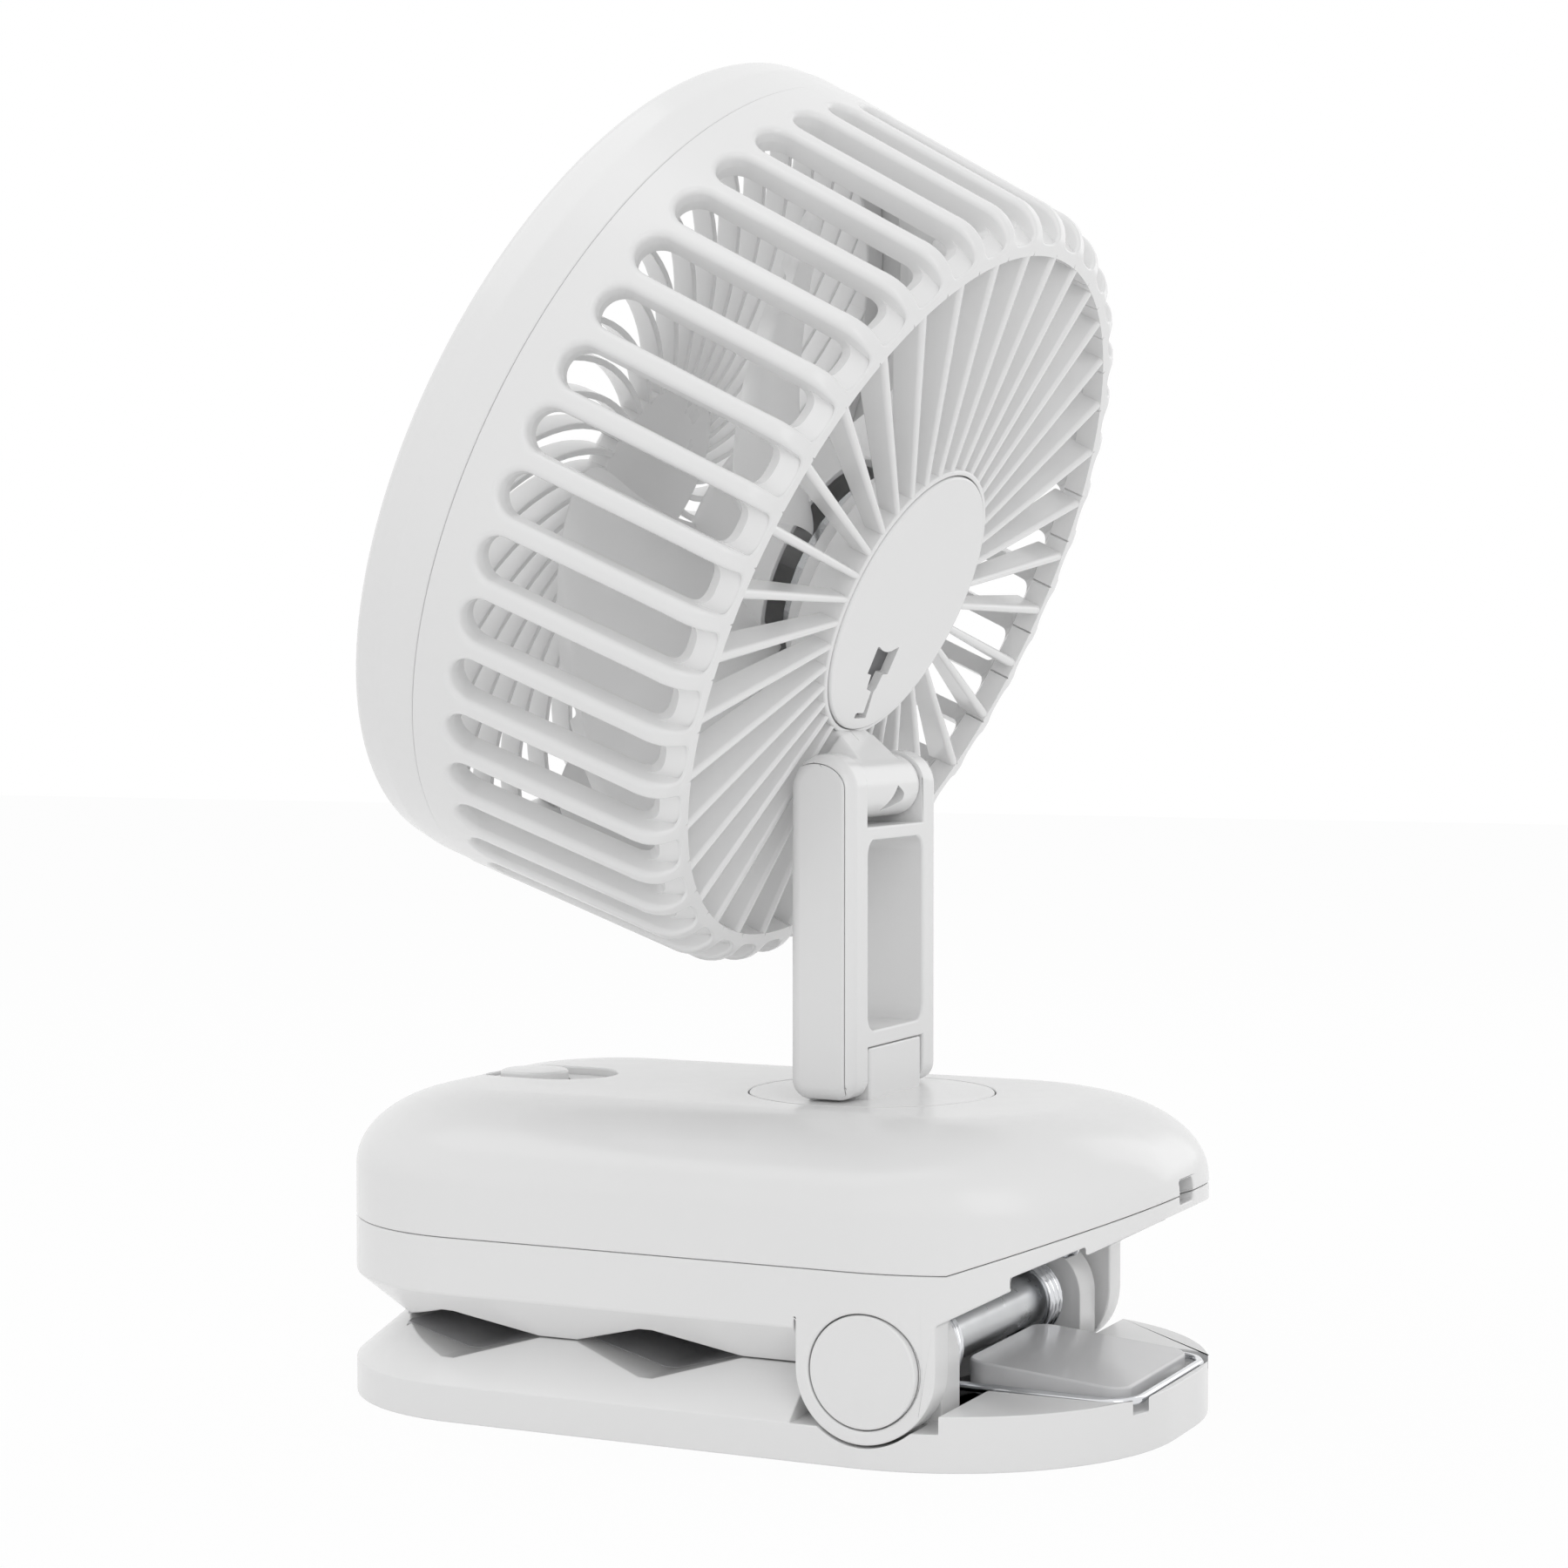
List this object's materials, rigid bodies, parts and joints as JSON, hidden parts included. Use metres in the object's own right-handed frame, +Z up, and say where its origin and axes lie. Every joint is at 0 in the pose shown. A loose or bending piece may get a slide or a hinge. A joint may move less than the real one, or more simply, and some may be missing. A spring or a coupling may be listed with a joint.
{
  "type": "clip fan",
  "caption": "Rechargeable clip fan: caged fan head that tilts on a folding arm, on a swivelling turntable over a battery base with a spring clamp under it.",
  "frame": {"origin": "where the turntable's swivel axis meets the surface the lower jaw stands on", "axes": "+Z up along the swivel axis, -Y the way the fan blows at swivel 0, +X to the right of the fan seen from behind, X = 0 the plane of symmetry of base, arm and cage"},
  "size_m": [0.195, 0.1914, 0.2985],
  "materials": {
    "white": "glossy moulded",
    "milk_white": "satin moulded",
    "grey_plastic": "satin moulded",
    "dark_plastic": "satin moulded",
    "grip_rubber": "matt moulded",
    "spring_steel": "bright drawn wire",
    "steel": "turned",
    "copper": "wound",
    "cell_sleeve": "shrink sleeve",
    "board": "lacquered"
  },
  "bodies": {
    "lower_jaw": {"lower_jaw": "white", "lower_grip_pad": "grip_rubber", "tail_pad": "milk_white", "foot_pad": "grip_rubber", "hinge_barrel": "dark_plastic", "clamp_spring": "spring_steel"},
    "base": {"base_lower_shell": "white", "base_top_shell": "white", "upper_grip_pad": "grip_rubber", "hinge_axle": "steel", "hinge_cap_right": "white", "hinge_cap_left": "white", "battery_cell_right": "cell_sleeve", "battery_cell_left": "cell_sleeve", "circuit_board": "board", "charging_port": "steel", "button_tray": "grey_plastic"},
    "power_button": {"power_button": "white"},
    "turntable": {"turntable": "white", "turntable_retainer": "grey_plastic", "fold_pin": "steel"},
    "arm": {"arm_frame": "white", "arm_cover_right": "white", "arm_cover_left": "white", "tilt_pin": "steel", "tilt_washer_right": "dark_plastic", "tilt_washer_left": "dark_plastic"},
    "head": {"rear_cage": "white", "rear_cap": "white", "motor_stator": "copper", "rear_bearing": "steel", "front_bearing": "steel", "front_ring": "white", "front_grille": "white"},
    "impeller": {"impeller": "milk_white", "spinner_cap": "white", "rotor_can": "dark_plastic", "motor_shaft": "steel"}
  },
  "joints": [
    {"name": "clamp_open", "type": "hinge", "parent": "lower_jaw", "child": "base", "pos_m": [0, 0.024, 0.0199], "axis": [-1, 0, 0], "range_deg": [0, 28], "stiffness_Nm_per_rad": 1.2, "springref_deg": -57.3, "deforming": ["clamp_spring"]},
    {"name": "button_press", "type": "slide", "parent": "base", "child": "power_button", "axis": [0, 0, -1], "range_m": [0, 0.001], "stiffness_N_per_m": 800, "springref_m": -0.001},
    {"name": "swivel", "type": "hinge", "parent": "base", "child": "turntable", "pos_m": [0, 0, 0.0697], "axis": [0, 0, 1], "range_deg": [-170, 170]},
    {"name": "arm_fold", "type": "hinge", "parent": "turntable", "child": "arm", "pos_m": [0, -0.0052, 0.0744], "axis": [1, 0, 0], "range_deg": [0, 25]},
    {"name": "head_tilt", "type": "hinge", "parent": "arm", "child": "head", "pos_m": [0, -0.0018, 0.138], "axis": [-1, 0, 0], "range_deg": [-24, 110]},
    {"name": "fan_spin", "type": "hinge", "parent": "head", "child": "impeller", "pos_m": [0, 0.00846, 0.17859], "axis": [0, -0.9048, 0.4258], "continuous": true}
  ]
}
